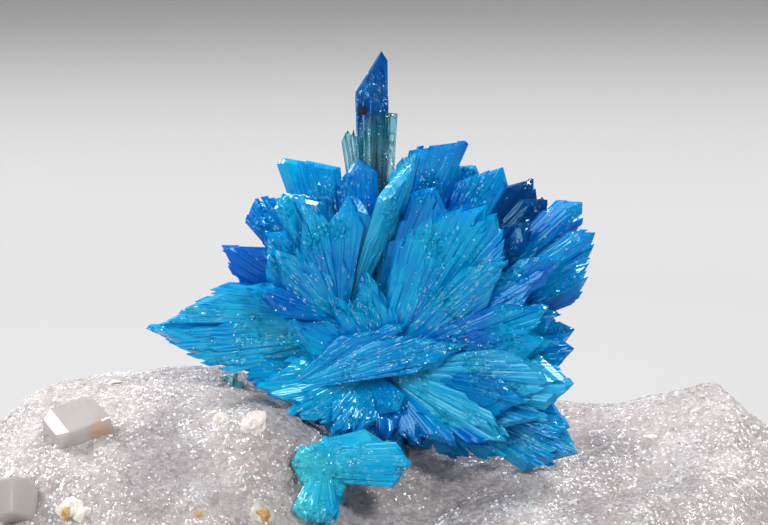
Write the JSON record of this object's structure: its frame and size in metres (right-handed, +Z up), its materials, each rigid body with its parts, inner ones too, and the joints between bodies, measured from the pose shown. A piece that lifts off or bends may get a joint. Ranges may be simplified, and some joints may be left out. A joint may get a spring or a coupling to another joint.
{
  "type": "pentagonite specimen",
  "caption": "Radiating spray of striated blue blades with a tall clear spire, and a smaller spray, grown on a white drusy matrix that is cut flat underneath.",
  "frame": {"origin": "middle of the bounding box's underside, on the flat cut face of the matrix", "axes": "+X to the right of the specimen's best side and along its longest extent, +Y away from the viewer, +Z up"},
  "size_m": [0.0301, 0.0202, 0.0187],
  "materials": {
    "pentagonite": "vitreous, striated along the blades",
    "drusy_matrix": "fine sparkling druse",
    "pale_crystal": "satin translucent"
  },
  "bodies": {
    "root": {"matrix": "drusy_matrix", "main_spray": "pentagonite", "small_spray": "pentagonite", "pale_crystal_left": "pale_crystal", "pale_crystal_front": "pale_crystal"}
  },
  "joints": []
}
